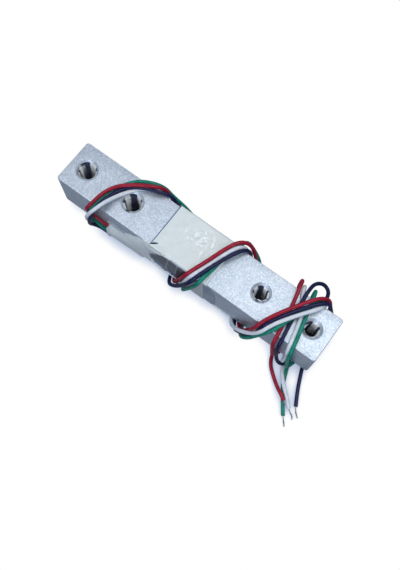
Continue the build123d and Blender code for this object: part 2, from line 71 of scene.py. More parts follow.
# The leads' routes from the part's source, with some points moved to follow the photograph
lead_radius = 0.0005
lead_points = {
    "red": [
        (-0.0234, -0.0071, 0.0086), (-0.0259, -0.0071, 0.0088), (-0.0282, -0.0073, 0.01),
        (-0.0291, -0.0077, 0.0126), (-0.0284, -0.0083, 0.0154), (-0.0274, -0.0066, 0.0173),
        (-0.0271, -0.0032, 0.0172), (-0.0254, 0.0005, 0.0174), (-0.0218, 0.0033, 0.0179),
        (-0.018, 0.0055, 0.0182), (-0.0154, 0.0077, 0.0163), (-0.0138, 0.0081, 0.0114),
        (-0.0106, 0.0086, 0.0066), (-0.0082, 0.0086, 0.0029), (-0.0072, 0.006, 0.0007),
        (-0.005, 0.0, 0.0006), (-0.0027, -0.0061, 0.0006), (-0.0013, -0.0079, 0.0033),
        (0.0004, -0.0077, 0.0088), (0.002, -0.008, 0.0144), (0.0033, -0.0065, 0.0177),
        (0.0049, -0.0016, 0.0169), (0.007, 0.004, 0.018), (0.0087, 0.0072, 0.0178),
        (0.011, 0.0087, 0.0156), (0.0129, 0.0081, 0.0122), (0.0136, 0.0081, 0.0076),
        (0.0136, 0.0081, 0.003), (0.0141, 0.0058, 0.0009), (0.016, 0.0, 0.001),
        (0.0184, -0.0062, 0.0009), (0.0206, -0.008, 0.0039), (0.0222, -0.0078, 0.009),
        (0.0235, -0.0084, 0.0145), (0.0245, -0.0063, 0.0178), (0.0266, -0.0024, 0.0189),
        (0.0297, 0.0026, 0.0189), (0.0321, 0.0063, 0.0187), (0.0343, 0.0083, 0.0165),
        (0.0355, 0.0083, 0.0122), (0.0357, 0.0087, 0.0078), (0.035, 0.0088, 0.0034),
        (0.0343, 0.0056, 0.0018), (0.033, 0.0, 0.0018), (0.0316, -0.0059, 0.0017),
        (0.03053, -0.00836, 0.0036), (0.03, -0.0084, 0.009), (0.0295, -0.0087, 0.0146),
        (0.0293, -0.0069, 0.0167), (0.0289, -0.004, 0.0161), (0.0284, -0.0006, 0.016),
        (0.0275, 0.0036, 0.0161), (0.0267, 0.007, 0.0165), (0.0262, 0.0092, 0.0149),
        (0.026, 0.0088, 0.0118), (0.0265, 0.0079, 0.0072), (0.027, 0.008, 0.0032),
        (0.0277, 0.0058, 0.0006), (0.0292, 0.0, 0.0006), (0.02995, -0.0062, 0.0006),
        (0.03126, -0.00975, 0.0006), (0.0342, -0.0122, 0.0006), (0.0364, -0.0138, 0.0011),
        (0.0382, -0.0148, 0.0018), (0.0395, -0.0157, 0.0017),
    ],
    "green": [
        (-0.0243, -0.007, 0.0041), (-0.0268, -0.0071, 0.0039), (-0.0287, -0.0072, 0.006),
        (-0.0289, -0.0079, 0.0092), (-0.0281, -0.0085, 0.0124), (-0.0273, -0.0082, 0.015),
        (-0.0269, -0.0063, 0.0166), (-0.0262, -0.003, 0.0163), (-0.0254, 0.0008, 0.0161),
        (-0.0227, 0.005, 0.0162), (-0.0188, 0.0068, 0.0169), (-0.0163, 0.0085, 0.0145),
        (-0.0144, 0.009, 0.011), (-0.0106, 0.0096, 0.0076), (-0.0066, 0.0094, 0.0046),
        (-0.0044, 0.0072, 0.0014), (-0.0036, 0.0032, 0.001), (-0.0014, -0.002, 0.0011),
        (0.0012, -0.0063, 0.0009), (0.0016, -0.0083, 0.0032), (0.0034, -0.0082, 0.0078),
        (0.0049, -0.0081, 0.0118), (0.0062, -0.008, 0.0158), (0.0069, -0.0058, 0.0179),
        (0.0072, -0.0028, 0.01685), (0.0076, 0.0008, 0.01685), (0.0084, 0.005, 0.0169),
        (0.0094, 0.0089, 0.0156), (0.0112, 0.0094, 0.012), (0.0135, 0.00935, 0.0082),
        (0.0151, 0.0085, 0.0034), (0.0154, 0.0058, 0.001), (0.0172, 0.0, 0.001),
        (0.0198, -0.006, 0.001), (0.0209, -0.0092, 0.0032), (0.0232, -0.0096, 0.008),
        (0.0254, -0.0085, 0.0136), (0.0275, -0.0068, 0.017), (0.029, -0.0032, 0.0173),
        (0.0304, 0.0012, 0.0173), (0.03205, 0.0053, 0.01745), (0.0336, 0.0089, 0.0148),
        (0.0349, 0.0093, 0.011), (0.0372, 0.0083, 0.0066), (0.0385, 0.0082, 0.0038),
        (0.0381, 0.006, 0.0015), (0.0369, 0.0, 0.0018), (0.0361, -0.0059, 0.0017),
        (0.0352, -0.0089, 0.0036), (0.0347, -0.0087, 0.009), (0.0344, -0.0088, 0.0144),
        (0.0339, -0.0064, 0.017), (0.0331, -0.0026, 0.016), (0.0319, 0.0024, 0.0161),
        (0.0308, 0.0068, 0.0167), (0.0303, 0.009, 0.0147), (0.0304, 0.0081, 0.0098),
        (0.0307, 0.0081, 0.0036), (0.0314, 0.0058, 0.0006), (0.033, 0.0, 0.0006),
        (0.0348, -0.006, 0.0006), (0.036, -0.0096, 0.0006), (0.0374, -0.013, 0.0006),
        (0.0398, -0.0162, 0.0006), (0.0416, -0.0187, 0.0006),
    ],
    "black": [
        (-0.0246, -0.0069, 0.0019), (-0.0269, -0.0069, 0.0019), (-0.0285, -0.0079, 0.0038),
        (-0.0282, -0.0092, 0.0072), (-0.0271, -0.0096, 0.0118), (-0.0262, -0.009, 0.0159),
        (-0.0257, -0.0059, 0.0178), (-0.0252, -0.0025, 0.0172), (-0.0239, 0.0013, 0.0164),
        (-0.0204, 0.0041, 0.017), (-0.0162, 0.0055, 0.0172), (-0.013, 0.0074, 0.0156),
        (-0.011, 0.0073, 0.0114), (-0.0108, 0.0073, 0.0068), (-0.0107, 0.0079, 0.003),
        (-0.01, 0.0056, 0.0006), (-0.007, 0.0, 0.0006), (-0.0041, -0.0056, 0.0006),
        (-0.0027, -0.0087, 0.0018), (0.0, -0.0091, 0.0056), (0.0026, -0.0088, 0.0106),
        (0.0043, -0.0087, 0.0154), (0.0056, -0.0061, 0.0179), (0.0071, -0.0016, 0.0178),
        (0.00895, 0.0029, 0.018), (0.0106, 0.0059, 0.0176), (0.0118, 0.0075, 0.0144),
        (0.0122, 0.0071, 0.0094), (0.0123, 0.008, 0.0036), (0.0128, 0.0059, 0.0008),
        (0.0147, 0.0, 0.0009), (0.0171, -0.0057, 0.0009), (0.0187, -0.0086, 0.0032),
        (0.0212, -0.009, 0.0068), (0.0243, -0.0087, 0.011), (0.025, -0.007, 0.0164),
        (0.0266, -0.0041, 0.0183), (0.0295, 0.0006, 0.0183), (0.0322, 0.0045, 0.0184),
        (0.0346, 0.007, 0.0176), (0.0359, 0.0074, 0.014), (0.0365, 0.0072, 0.0089),
        (0.037, 0.0082, 0.0039), (0.0367, 0.006, 0.0014), (0.0356, 0.0, 0.0018),
        (0.035, -0.005, 0.0018), (0.0345, -0.0076, 0.0018), (0.0334, -0.0089, 0.0032),
        (0.0322, -0.009, 0.0054), (0.0315, -0.0087, 0.0082), (0.0311, -0.0087, 0.0116),
        (0.0309, -0.008, 0.0152), (0.0305, -0.0054, 0.0168), (0.0299, -0.0014, 0.0161),
        (0.0293, 0.0032, 0.017), (0.029, 0.0072, 0.0176), (0.0292, 0.0102, 0.0148),
        (0.0309, 0.0119, 0.0134), (0.0331, 0.0112, 0.0126), (0.0337, 0.009, 0.0112),
        (0.0334, 0.0077, 0.008), (0.0332, 0.0082, 0.0048), (0.0337, 0.0079, 0.0015),
        (0.0349, 0.0049, 0.0006), (0.0366, 0.0002, 0.0006), (0.0383, -0.005, 0.0006),
        (0.0399, -0.0089, 0.0006), (0.0413, -0.012, 0.0006), (0.0429, -0.0149, 0.0006),
    ],
    "white": [
        (-0.0248, -0.0054, 0.0012), (-0.027, -0.0056, 0.0011), (-0.029, -0.0072, 0.0026),
        (-0.0292, -0.0084, 0.0066), (-0.0284, -0.0093, 0.011), (-0.0272, -0.0097, 0.0149),
        (-0.0255, -0.0083, 0.0183), (-0.0245, -0.0045, 0.0182), (-0.0232, 0.0001, 0.0163),
        (-0.0209, 0.0036, 0.01595), (-0.0182, 0.0059, 0.01605), (-0.0165, 0.0072, 0.016),
        (-0.0154, 0.0074, 0.013), (-0.0136, 0.0072, 0.0086), (-0.0124, 0.0076, 0.0046),
        (-0.0119, 0.0072, 0.0017), (-0.0097, 0.004, 0.00175), (-0.0074, 0.0012, 0.0017),
        (-0.0042, -0.0022, 0.0018), (-0.0014, -0.0065, 0.0013), (0.0002, -0.0083, 0.0032),
        (0.0018, -0.0078, 0.0088), (0.003, -0.008, 0.0142), (0.0043, -0.0068, 0.0176),
        (0.0059, -0.002, 0.0168), (0.0076, 0.0024, 0.0179), (0.0092, 0.0058, 0.0178),
        (0.0103, 0.0073, 0.0152), (0.0109, 0.0079, 0.0112), (0.0109, 0.0081, 0.0068),
        (0.0109, 0.0082, 0.0032), (0.0116, 0.0058, 0.0009), (0.0135, 0.0, 0.001),
        (0.016, -0.0058, 0.001), (0.0176, -0.0082, 0.0036), (0.0203, -0.0093, 0.0082),
        (0.0236, -0.0091, 0.0124), (0.0256, -0.0083, 0.0162), (0.0269, -0.0056, 0.0184),
        (0.03, -0.0007, 0.0184), (0.0328, 0.0031, 0.0184), (0.03405, 0.0054, 0.0172),
        (0.0343, 0.0075, 0.0155), (0.0342, 0.0071, 0.0118), (0.0349, 0.0072, 0.0074),
        (0.0358, 0.0078, 0.0037), (0.0356, 0.006, 0.0016), (0.0343, 0.0, 0.0018),
        (0.0335, -0.0055, 0.0015), (0.0335, -0.0085, 0.0038), (0.0338, -0.0078, 0.0094),
        (0.0334, -0.0082, 0.0146), (0.0328, -0.006, 0.017), (0.0321, -0.0028, 0.0161),
        (0.0312, 0.001, 0.0161), (0.029, 0.0044, 0.0161), (0.0278, 0.007, 0.0162),
        (0.0275, 0.0084, 0.014), (0.0276, 0.0082, 0.011), (0.0279, 0.0079, 0.0072),
        (0.0284, 0.008, 0.0032), (0.0292, 0.0058, 0.0006), (0.0314, 0.0, 0.0006),
        (0.033, -0.0058, 0.0006), (0.035, -0.0098, 0.0009), (0.037, -0.0122, 0.0018),
        (0.0396, -0.0144, 0.0016), (0.0417, -0.0163, 0.0006),
    ],
}
bare_end_points = {
    "red": [
        (0.0395, -0.0157, 0.0017), (0.04, -0.01605, 0.00165), (0.0405, -0.0163, 0.0015),
    ],
    "green": [
        (0.0416, -0.0187, 0.0006), (0.0422, -0.0194, 0.00055), (0.0427, -0.0199, 0.00035),
        (0.0434, -0.0207, 0.0003),
    ],
    "black": [
        (0.0429, -0.0149, 0.0006), (0.0434, -0.0157, 0.0005), (0.044, -0.0163, 0.0004),
        (0.0449, -0.017, 0.00035),
    ],
    "white": [
        (0.0417, -0.0163, 0.0006), (0.0424, -0.01685, 0.00045), (0.0435, -0.0173, 0.0004),
        (0.044, -0.0181, 0.00035),
    ],
}


# Helpers

def link(obj):
    bpy.context.scene.collection.objects.link(obj)
    return obj


def mesh_object(name, vertices, faces, material, smooth_angle=None):
    mesh = bpy.data.meshes.new(name)
    mesh.from_pydata(vertices, [], faces)
    mesh.validate()
    mesh.materials.append(material)
    if smooth_angle is not None:
        mesh.shade_smooth()
        mesh.set_sharp_from_angle(angle=math.radians(smooth_angle))
    return link(bpy.data.objects.new(name, mesh))


def lathe(name, profile, x, segments):
    """A closed solid turned about the upright axis at x, from (radius, height) pairs.

    The first and the last pair have a radius of 0.
    """
    vertices = [(x, 0, profile[0][1])]
    rings = profile[1:-1]
    for radius, height in rings:
        for step in range(segments):
            angle = 2 * math.pi * step / segments
            vertices.append((x + radius * math.cos(angle), radius * math.sin(angle), height))
    vertices.append((x, 0, profile[-1][1]))
    last = len(vertices) - 1
    faces = []
    for step in range(segments):
        after = (step + 1) % segments
        faces.append((0, 1 + after, 1 + step))
        for ring in range(len(rings) - 1):
            low = 1 + ring * segments
            high = low + segments
            faces.append((low + step, low + after, high + after, high + step))
        top = 1 + (len(rings) - 1) * segments
        faces.append((top + step, top + after, last))
    mesh = bpy.data.meshes.new(name)
    mesh.from_pydata(vertices, [], faces)
    return link(bpy.data.objects.new(name, mesh))


def apply_modifiers(obj):
    depsgraph = bpy.context.evaluated_depsgraph_get()
    mesh = bpy.data.meshes.new_from_object(obj.evaluated_get(depsgraph))
    obj.modifiers.clear()
    obj.data = mesh


def dress(obj, material):
    obj.data.materials.clear()
    obj.data.materials.append(material)
    obj.data.shade_smooth()


def uneven(place, roughness, lacunarity):
    """Fractal noise from about -1 to 1, in three octaves."""
    return noise.fractal(place, roughness, lacunarity, 3)


def fill_ramp(node, stops):
    elements = node.color_ramp.elements
    while len(elements) < len(stops):
        elements.new(0.5)
    for element, (position, colour) in zip(elements, stops):
        element.position = position
        element.color = (*colour, 1.0)


# Materials

class Look:
    """A material with a few short words for building its node tree."""

    # Where a colour Mix node has its factor and its two colours
    mix_sockets = (0, 6, 7)
    mix_result = 2

    def __init__(self, name):
        self.material = bpy.data.materials.new(name)
        self.material.use_nodes = True
        self.tree = self.material.node_tree
        self.surface = self.tree.nodes["Principled BSDF"]
        self.output = self.tree.nodes["Material Output"]
        self.place = self.add("ShaderNodeTexCoord").outputs["Object"]

    def add(self, kind, **settings):
        node = self.tree.nodes.new(kind)
        for key, value in settings.items():
            setattr(node, key, value)
        return node

    def join(self, source, socket):
        self.tree.links.new(source, socket)

    def colour(self, source):
        self.join(source, self.surface.inputs["Base Color"])

    def set(self, **values):
        for key, value in values.items():
            self.surface.inputs[key.replace("_", " ")].default_value = value

    def noise(self, scale, detail=2.0, roughness=0.5, stretch=(1, 1, 1), shift=(0, 0, 0)):
        mapping = self.add("ShaderNodeMapping")
        mapping.inputs["Location"].default_value = shift
        mapping.inputs["Scale"].default_value = stretch
        self.join(self.place, mapping.inputs["Vector"])
        texture = self.add("ShaderNodeTexNoise")
        texture.inputs["Scale"].default_value = scale
        texture.inputs["Detail"].default_value = detail
        texture.inputs["Roughness"].default_value = roughness
        self.join(mapping.outputs["Vector"], texture.inputs["Vector"])
        return texture.outputs["Fac"]

    def ramp(self, source, *stops):
        node = self.add("ShaderNodeValToRGB")
        fill_ramp(node, stops)
        self.join(source, node.inputs["Fac"])
        return node.outputs["Color"]

    def mix(self, factor, first, second, blend="MIX"):
        node = self.add("ShaderNodeMix", data_type="RGBA", blend_type=blend)
        for number, value in zip(self.mix_sockets, (factor, first, second)):
            socket = node.inputs[number]
            if isinstance(value, bpy.types.NodeSocket):
                self.join(value, socket)
            elif isinstance(value, (int, float)):
                socket.default_value = value
            else:
                socket.default_value = (*value, 1.0)
        return node.outputs[self.mix_result]

    def mix_shaders(self, factor, first, second):
        node = self.add("ShaderNodeMixShader")
        self.join(factor, node.inputs["Fac"])
        self.join(first, node.inputs[1])
        self.join(second, node.inputs[2])
        return node.outputs["Shader"]

    def bump(self, height, distance, strength):
        node = self.add("ShaderNodeBump")
        node.inputs["Strength"].default_value = strength
        node.inputs["Distance"].default_value = distance
        self.join(height, node.inputs["Height"])
        self.join(node.outputs["Normal"], self.surface.inputs["Normal"])


def bar_metal():
    look = Look("blasted_aluminium")
    grain = look.noise(3000, 4.0, 0.75)
    patches = look.noise(420, 2.0, 0.5)
    fine = look.ramp(grain, (0.36, (0.50, 0.57, 0.65)), (0.50, (0.69, 0.75, 0.82)),
                     (0.62, (0.93, 0.95, 0.98)))
    wide = look.ramp(patches, (0.35, (0.90, 0.92, 0.94)), (0.65, (1.0, 1.0, 1.0)))
    look.colour(look.mix(1.0, fine, wide, "MULTIPLY"))
    look.set(Metallic=0.65, Roughness=0.44)
    look.bump(grain, 0.00006, 0.6)
    return look.material


def hole_metal_with_painted_light(name, x, kind):
    """Cut thread faces with upright streaks of painted reflection, near white and near black, over a
    painted shade that darkens them to deep blue further down.

    A load hole repeats the painted streaks of the fixed hole that lies as far from the bar's middle.
    """
    # Depths below the bar's top at which the painted shade is full and at which it begins
    painted_shade_full_depth = 0.0125
    painted_shade_start_depth = 0.0070
    look = Look(name)
    split = look.add("ShaderNodeSeparateXYZ")
    look.join(look.place, split.inputs["Vector"])
    height = look.add("ShaderNodeMapRange")
    height.inputs["From Min"].default_value = bar_top - painted_shade_full_depth
    height.inputs["From Max"].default_value = bar_top - painted_shade_start_depth
    look.join(split.outputs["Z"], height.inputs["Value"])
    spread = holes["fixed"]["minor"] / kind["minor"]
    # Painted reflection: upright streaks of near white and near black, which also drive a small bump
    streaks = look.noise(620, 1.0, 0.4, (spread, spread, 0.05), (-abs(x) - spread * x, 0, 0))
    painted_reflection_bands = look.ramp(streaks, (0.45, (0.03, 0.04, 0.10)), (0.52, (0.95, 0.96, 0.92)),
                       (0.60, (1.0, 1.0, 0.97)))
    # Painted shade: the colour darkens lower in the hole, to deep blue at the bottom
    painted_depth_shade = look.ramp(height.outputs["Result"], (0.0, (0.0, 0.0, 0.0)), (0.35, (0.12, 0.12, 0.12)),
                     (0.8, (1.0, 1.0, 1.0)))
    look.colour(look.mix(painted_depth_shade, (0.018, 0.028, 0.085), painted_reflection_bands))
    look.set(Metallic=0.10, Roughness=0.22)
    look.bump(streaks, 0.00003, 0.5)
    return look.material


def insulation(name, dark, light):
    look = Look(name)
    look.colour(look.ramp(look.noise(900), (0.3, dark), (0.7, light)))
    look.set(Roughness=0.34, Specular_IOR_Level=0.32)
    look.bump(look.noise(1600), 0.00002, 0.35)
    return look.material


def tinned_wire():
    look = Look("tinned_strands")
    look.colour(look.ramp(look.noise(5000), (0.3, (0.20, 0.20, 0.22)), (0.7, (0.45, 0.45, 0.48))))
    look.set(Metallic=1.0, Roughness=0.35)
    return look.material


def silicone(name, dark, light):
    look = Look(name)
    look.colour(look.ramp(look.noise(360, 3.0, 0.6), (0.32, dark), (0.68, light)))
    look.set(Roughness=0.30, Coat_Weight=0.5, Coat_Roughness=0.12)
    look.set(Subsurface_Weight=0.15, Subsurface_Scale=0.0006)
    look.bump(look.noise(900, 3.0, 0.55), 0.00010, 0.6)
    return look.material


def plain_inner(name, dark, light, metallic, roughness):
    look = Look(name)
    look.colour(look.ramp(look.noise(2500), (0.3, dark), (0.7, light)))
    look.set(Metallic=metallic, Roughness=roughness)
    return look.material


def clear_film():
    """Milky over the silicone and see-through over the window, by the sheet's milkiness, with a painted
    shade that makes its colour and see-through tint darker and bluer.
    """
    look = Look("clear_film")
    milk = look.add("ShaderNodeAttribute", attribute_name="milkiness").outputs["Fac"]
    shade = look.add("ShaderNodeAttribute", attribute_name="shade").outputs["Fac"]
    cloud = look.noise(520, 3.0, 0.6)
    pale = look.ramp(cloud, (0.3, (0.84, 0.90, 0.86)), (0.7, (0.93, 0.96, 0.93)))
    # Painted shade: the film's colour turns dark blue as the shade attribute grows
    look.colour(look.mix(shade, pale, (0.10, 0.22, 0.44)))
    look.set(Roughness=0.24, Coat_Weight=0.8, Coat_Roughness=0.07)
    look.bump(look.noise(700, 3.0, 0.55), 0.00012, 0.5)
    clear = look.add("ShaderNodeBsdfTransparent")
    # The see-through tint darkens with the painted shade, to nearly black where it is full, a painted
    # shadow
    tint = look.ramp(shade, (0.0, (0.96, 0.98, 0.99)), (0.5, (0.46, 0.62, 0.88)),
                     (1.0, (0.03, 0.04, 0.07)))
    look.join(tint, clear.inputs["Color"])
    shine = look.add("ShaderNodeBsdfGlossy")
    shine.inputs["Roughness"].default_value = 0.12
    rim = look.add("ShaderNodeFresnel")
    rim.inputs["IOR"].default_value = 1.45
    body = look.mix_shaders(milk, clear.outputs["BSDF"], look.surface.outputs["BSDF"])
    whole = look.mix_shaders(rim.outputs["Fac"], body, shine.outputs["BSDF"])
    look.join(whole, look.output.inputs["Surface"])
    return look.material


def pale_floor():
    """White to the camera, with a painted contact shadow close to what stands on it, and clear to all
    other rays.
    """
    look = Look("pale_floor")
    near = look.add("ShaderNodeAmbientOcclusion", samples=16)
    near.inputs["Distance"].default_value = 0.0044
    # Painted contact shadow: the white turns bluer and darker where ambient occlusion finds things close
    # by
    shade = look.ramp(near.outputs["AO"], (0.0, (0.16, 0.20, 0.33)), (0.50, (0.55, 0.62, 0.76)),
                      (0.82, (1.0, 1.0, 1.0)))
    glow = look.add("ShaderNodeEmission")
    look.join(shade, glow.inputs["Color"])
    clear = look.add("ShaderNodeBsdfTransparent")
    seen = look.add("ShaderNodeLightPath").outputs["Is Camera Ray"]
    whole = look.mix_shaders(seen, clear.outputs["BSDF"], glow.outputs["Emission"])
    look.join(whole, look.output.inputs["Surface"])
    return look.material


metal = bar_metal()
wire_metal = tinned_wire()
film = clear_film()
coat_silicone = silicone("coat_silicone", (0.62, 0.69, 0.71), (0.82, 0.87, 0.88))
cover_silicone = silicone("cover_silicone", (0.74, 0.81, 0.79), (0.88, 0.92, 0.91))
thin_silicone = silicone("thin_silicone", (0.20, 0.25, 0.33), (0.34, 0.41, 0.50))
flange_silicone = silicone("flange_silicone", (0.80, 0.86, 0.86), (0.95, 0.97, 0.96))
lead_looks = {
    "red": insulation("red_insulation", (0.31, 0.006, 0.024), (0.45, 0.013, 0.042)),
    "green": insulation("green_insulation", (0.004, 0.19, 0.13), (0.010, 0.32, 0.22)),
    "black": insulation("black_insulation", (0.004, 0.007, 0.042), (0.012, 0.017, 0.090)),
    "white": insulation("white_insulation", (0.76, 0.80, 0.86), (0.88, 0.91, 0.95)),
}


# The bar, with its holes opened to the threads' major radius

upright_rounding = 0.0007
level_rounding = 0.00025
# An edge is upright if its ends differ more than this in height
upright_rise = 0.001
bore_segments = 160
bore_cutter_half = 0.02
hole_segments = 128
cut_past = 0.001
bar_sharp_angle = 24


def is_upright(edge):
    ends = edge.verts
    return abs(ends[0].co.z - ends[1].co.z) > upright_rise


def bar_block():
    """The plain bar, its upright edges rounded more than its level ones."""
    shape = bmesh.new()
    bmesh.ops.create_cube(shape, size=1.0)
    for vertex in shape.verts:
        vertex.co.x *= 2 * bar_half_length
        vertex.co.y *= 2 * bar_side
        vertex.co.z = bar_middle + vertex.co.z * (bar_top - bar_bottom)
    for upright, rounding, segments in ((True, upright_rounding, 4), (False, level_rounding, 3)):
        edges = [edge for edge in shape.edges if is_upright(edge) == upright]
        bmesh.ops.bevel(shape, geom=edges, offset=rounding, segments=segments, profile=0.5, affect="EDGES")
    mesh = bpy.data.meshes.new("bar_visible")
    shape.to_mesh(mesh)
    shape.free()
    return link(bpy.data.objects.new("bar_visible", mesh))


def flexure_cutter(side):
    """A round rod that lies along Y and cuts one of the two cross bores."""
    low, high = -bore_cutter_half, bore_cutter_half
    profile = [(0, low), (flexure_radius, low), (flexure_radius, high), (0, high)]
    rod = lathe("flexure_cutter", profile, 0, bore_segments)
    for vertex in rod.data.vertices:
        x, y, z = vertex.co
        vertex.co = (x + side * flexure_offset, -z, y + bar_middle)
    return rod


def hole_cutter(kind, column):
    """A rod that cuts one mounting hole and its countersinks at both faces."""
    sink = kind["rim"] - kind["major"]
    wide = kind["rim"] + cut_past
    profile = [(0, bar_bottom - cut_past), (wide, bar_bottom - cut_past), (kind["rim"], bar_bottom),
               (kind["major"], bar_bottom + sink), (kind["major"], bar_top - sink), (kind["rim"], bar_top),
               (wide, bar_top + cut_past), (0, bar_top + cut_past)]
    return lathe("hole_cutter", profile, column, hole_segments)


def make_bar():
    bar = bar_block()
    cutters = [flexure_cutter(side) for side in (-1, 1)]
    cutters += [hole_cutter(kind, column) for kind in holes.values() for column in kind["columns"]]
    for cutter in cutters:
        modifier = bar.modifiers.new("cut", "BOOLEAN")
        modifier.operation = "DIFFERENCE"
        modifier.solver = "EXACT"
        modifier.object = cutter
    apply_modifiers(bar)
    for cutter in cutters:
        bpy.data.objects.remove(cutter)
    dress(bar, metal)
    bar.data.set_sharp_from_angle(angle=math.radians(bar_sharp_angle))
    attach(bar, "root")
    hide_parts("beam")


# The threads, each one ridge that winds up its hole

thread_steps = 48
thread_margin = 0.0004
thread_sunk = 0.00002
# Half the ridge's height at its foot and at its crest, as shares of the pitch
thread_foot_share = 0.46
thread_crest_share = 0.06
thread_sharp_angle = 35


def make_thread(name, x, kind):
    pitch = kind["pitch"]
    turns = (bar_top - bar_bottom - 2 * thread_margin) / pitch
    root = kind["major"] + thread_sunk
    crest = kind["minor"]
    half_foot = thread_foot_share * pitch
    half_crest = thread_crest_share * pitch
    section = [(root, -half_foot), (crest, -half_crest), (crest, half_crest), (root, half_foot)]
    corners = len(section)
    count = int(thread_steps * turns)
    vertices = []
    faces = []
    for step in range(count + 1):
        angle = 2 * math.pi * step / thread_steps
        height = bar_bottom + thread_margin + pitch * step / thread_steps
        fade = min(1.0, step / thread_steps, (count - step) / thread_steps)
        for radius, rise in section:
            radius = root - (root - radius) * fade
            vertices.append((x + radius * math.cos(angle), radius * math.sin(angle), height + rise))
        if step:
            here = corners * step
            before = here - corners
            for corner in range(corners - 1):
                faces.append((here + corner, here + corner + 1, before + corner + 1, before + corner))
    painted_light_walls = hole_metal_with_painted_light(f"{name}_metal", x, kind)
    ridge = mesh_object(name, vertices, faces, painted_light_walls, thread_sharp_angle)
    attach(ridge, "root")


make_bar()
for side, kind in holes.items():
    for number, column in enumerate(kind["columns"], 1):
        make_thread(f"{side}_thread_{number}", column, kind)


# Silicone coats, cast from the CAD solids with an uneven poured surface

poured_voxel = 0.00022
pour_scale = 420
lowest_pour = 0.00002
# The CAD coat's front flange is pressed flat here, because the strips below stand for it
flat_front = 0.00664


def poured(node, name, material, unevenness):
    coat = link(bpy.data.objects.new(name, frame["nodes"][node].data.copy()))
    remesh = coat.modifiers.new("remesh", "REMESH")
    remesh.mode = "VOXEL"
    remesh.voxel_size = poured_voxel
    soft = coat.modifiers.new("soft", "SMOOTH")
    soft.factor = 0.5
    soft.iterations = 6
    apply_modifiers(coat)
    places = [vertex.co.copy() for vertex in coat.data.vertices]
    normals = [vertex.normal.copy() for vertex in coat.data.vertices]
    moved = []
    for place, normal in zip(places, normals):
        place += normal * (uneven(place * pour_scale, 0.9, 2.1) * unevenness)
        place.y = max(place.y, -flat_front)
        place.z = max(place.z, lowest_pour)
        moved.extend(place)
    coat.data.vertices.foreach_set("co", moved)
    coat.data.update()
    dress(coat, material)
    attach(coat, "root")
    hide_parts(node)


poured("silicone_coat_bottom", "poured_coat", coat_silicone, 0.00012)
poured("silicone_coat_top", "poured_cover", cover_silicone, 0.00008)


# Soft strips of silicone along the front, each given by stations of (x, top, foot, bulge)

front_strips = {
    "poured_flange": [
        (-0.0254, 0.0086, 0.0008, 0.001), (-0.0244, 0.009, 0.0006, 0.00125),
        (-0.0232, 0.0092, 0.0006, 0.0013), (-0.0215, 0.0088, 0.0007, 0.0012),
        (-0.019, 0.0096, 0.0007, 0.00115), (-0.0157, 0.0122, 0.001, 0.00105),
        (-0.0131, 0.0146, 0.0021, 0.0009), (-0.0112, 0.0154, 0.0022, 0.00066),
        (-0.01, 0.0156, 0.0023, 0.00046),
    ],
    "poured_fold": [
        (-0.0116, 0.015, 0.011, 0.0004), (-0.0104, 0.0158, 0.0092, 0.00062),
        (-0.0096, 0.016, 0.0095, 0.00068), (-0.0082, 0.0161, 0.0117, 0.00072),
        (-0.0065, 0.0161, 0.0137, 0.00066), (-0.005, 0.0161, 0.015, 0.00056),
        (-0.0028, 0.0161, 0.0156, 0.00042),
    ],
    "poured_hem": [
        (-0.0106, 0.0094, 0.0023, 0.00046), (-0.0096, 0.0056, 0.0022, 0.0006),
        (-0.0084, 0.0041, 0.0022, 0.00062), (-0.0066, 0.0034, 0.0022, 0.0006),
        (-0.004, 0.0038, 0.0023, 0.00055), (-0.001, 0.0039, 0.0023, 0.0005),
        (0.0036, 0.0037, 0.0024, 0.00044),
    ],
    "poured_end": [
        (0.0066, 0.0149, 0.003, 0.0003), (0.008, 0.015, 0.0027, 0.00034),
        (0.0094, 0.0142, 0.0026, 0.0003), (0.0104, 0.0128, 0.0027, 0.00016),
        (0.011, 0.01, 0.003, 0.00004),
    ],
}
front_start = front_strips["poured_flange"][0][0]
strip_columns = 90
strip_rows = 30
# How far a strip stands off the bar's side, and how far its back is sunk into the bar
strip_gap = 0.00004
strip_sunk = 0.0002
strip_roughness = 0.00006
strip_scale = 330
strip_sharp_angle = 50
# The share of its height at which a strip bulges most, and how much of the bulge is gone at its foot
strip_crest = 0.45
foot_thinning = 0.55
start_foot_thinning = 0.25
start_foot_end = -0.0238
# A strip thins to this share of its bulge at its start, and the flange's start leans as it rises
start_share = 0.25
start_growth = 22
start_lean = 0.15
start_lean_length = 0.0026


def strip_at(stations, x):
    """A strip's top, foot and bulge at x."""
    for before, after in zip(stations, stations[1:]):
        if x <= after[0]:
            share = (x - before[0]) / (after[0] - before[0])
            share = share * share * (3 - 2 * share)
            return [low + share * (high - low) for low, high in zip(before[1:], after[1:])]
    return stations[-1][1:]


def strip_swell(x, down):
    """The share of a strip's bulge at x, down that share of its height."""
    swell = math.sin(math.pi / 2 * min(1.0, down / strip_crest)) ** 0.8
    if down > strip_crest:
        thinning = foot_thinning if x > start_foot_end else start_foot_thinning
        swell *= 1 - thinning * ((down - strip_crest) / (1 - strip_crest)) ** 1.6
    return swell


